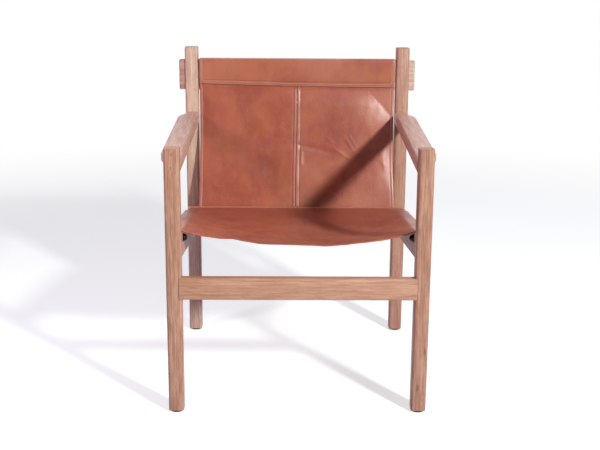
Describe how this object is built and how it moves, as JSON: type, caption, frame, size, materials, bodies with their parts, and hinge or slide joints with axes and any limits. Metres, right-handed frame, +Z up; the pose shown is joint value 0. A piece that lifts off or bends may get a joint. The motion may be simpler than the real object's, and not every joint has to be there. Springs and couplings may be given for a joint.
{
  "type": "sling lounge chair",
  "caption": "Low open-arm lounge chair: square-post wooden frame, leather seat slung between sloping side rails and leather back hung from a through-tenoned crest rail.",
  "frame": {"origin": "on the floor under the middle of the chair's plan", "axes": "+Z up, +Y to the back, +X to the right of someone who faces the chair"},
  "size_m": [0.626, 0.595, 0.788],
  "materials": {
    "post_wood": "clear matt oil",
    "rail_wood": "clear matt oil",
    "arm_wood": "clear matt oil",
    "batten_wood": "clear matt oil",
    "dowel_wood": "bare",
    "seat_leather": "smooth saddle hide, waxed",
    "back_leather": "smooth saddle hide, waxed",
    "band_leather": "smooth saddle hide, waxed",
    "leather_edge": "burnished cut edge",
    "thread": "waxed thread",
    "black_steel": "black oxide, satin",
    "brass": "turned",
    "glide_plastic": "moulded"
  },
  "bodies": {
    "root": {"front_post_left": "post_wood", "back_post_left": "post_wood", "front_post_right": "post_wood", "back_post_right": "post_wood", "front_stretcher": "rail_wood", "crest_rail": "rail_wood", "side_rail_left": "rail_wood", "side_rail_right": "rail_wood", "rear_seat_rail": "rail_wood", "arm_left": "arm_wood", "arm_right": "arm_wood", "seat_batten_left": "batten_wood", "seat_batten_right": "batten_wood", "back_batten": "batten_wood", "seat_sling": "seat_leather", "back_panel_left": "back_leather", "back_panel_right": "back_leather", "back_seam_strip": "back_leather", "back_band": "band_leather", "crest_pin_left": "dowel_wood", "stretcher_dowel_left_1": "dowel_wood", "stretcher_dowel_left_2": "dowel_wood", "rear_rail_dowel_left_1": "dowel_wood", "rear_rail_dowel_left_2": "dowel_wood", "seat_bolt_left_1": "black_steel", "seat_bolt_left_2": "black_steel", "seat_bolt_left_3": "black_steel", "seat_insert_left_1": "brass", "seat_insert_left_2": "brass", "seat_insert_left_3": "brass", "glide_front_left": "glide_plastic", "glide_back_left": "glide_plastic", "crest_pin_right": "dowel_wood", "stretcher_dowel_right_1": "dowel_wood", "stretcher_dowel_right_2": "dowel_wood", "rear_rail_dowel_right_1": "dowel_wood", "rear_rail_dowel_right_2": "dowel_wood", "seat_bolt_right_1": "black_steel", "seat_bolt_right_2": "black_steel", "seat_bolt_right_3": "black_steel", "seat_insert_right_1": "brass", "seat_insert_right_2": "brass", "seat_insert_right_3": "brass", "glide_front_right": "glide_plastic", "glide_back_right": "glide_plastic", "back_bolt_1": "black_steel", "back_bolt_2": "black_steel", "back_bolt_3": "black_steel", "back_bolt_4": "black_steel", "back_insert_1": "brass", "back_insert_2": "brass", "back_insert_3": "brass", "back_insert_4": "brass"}
  },
  "joints": []
}
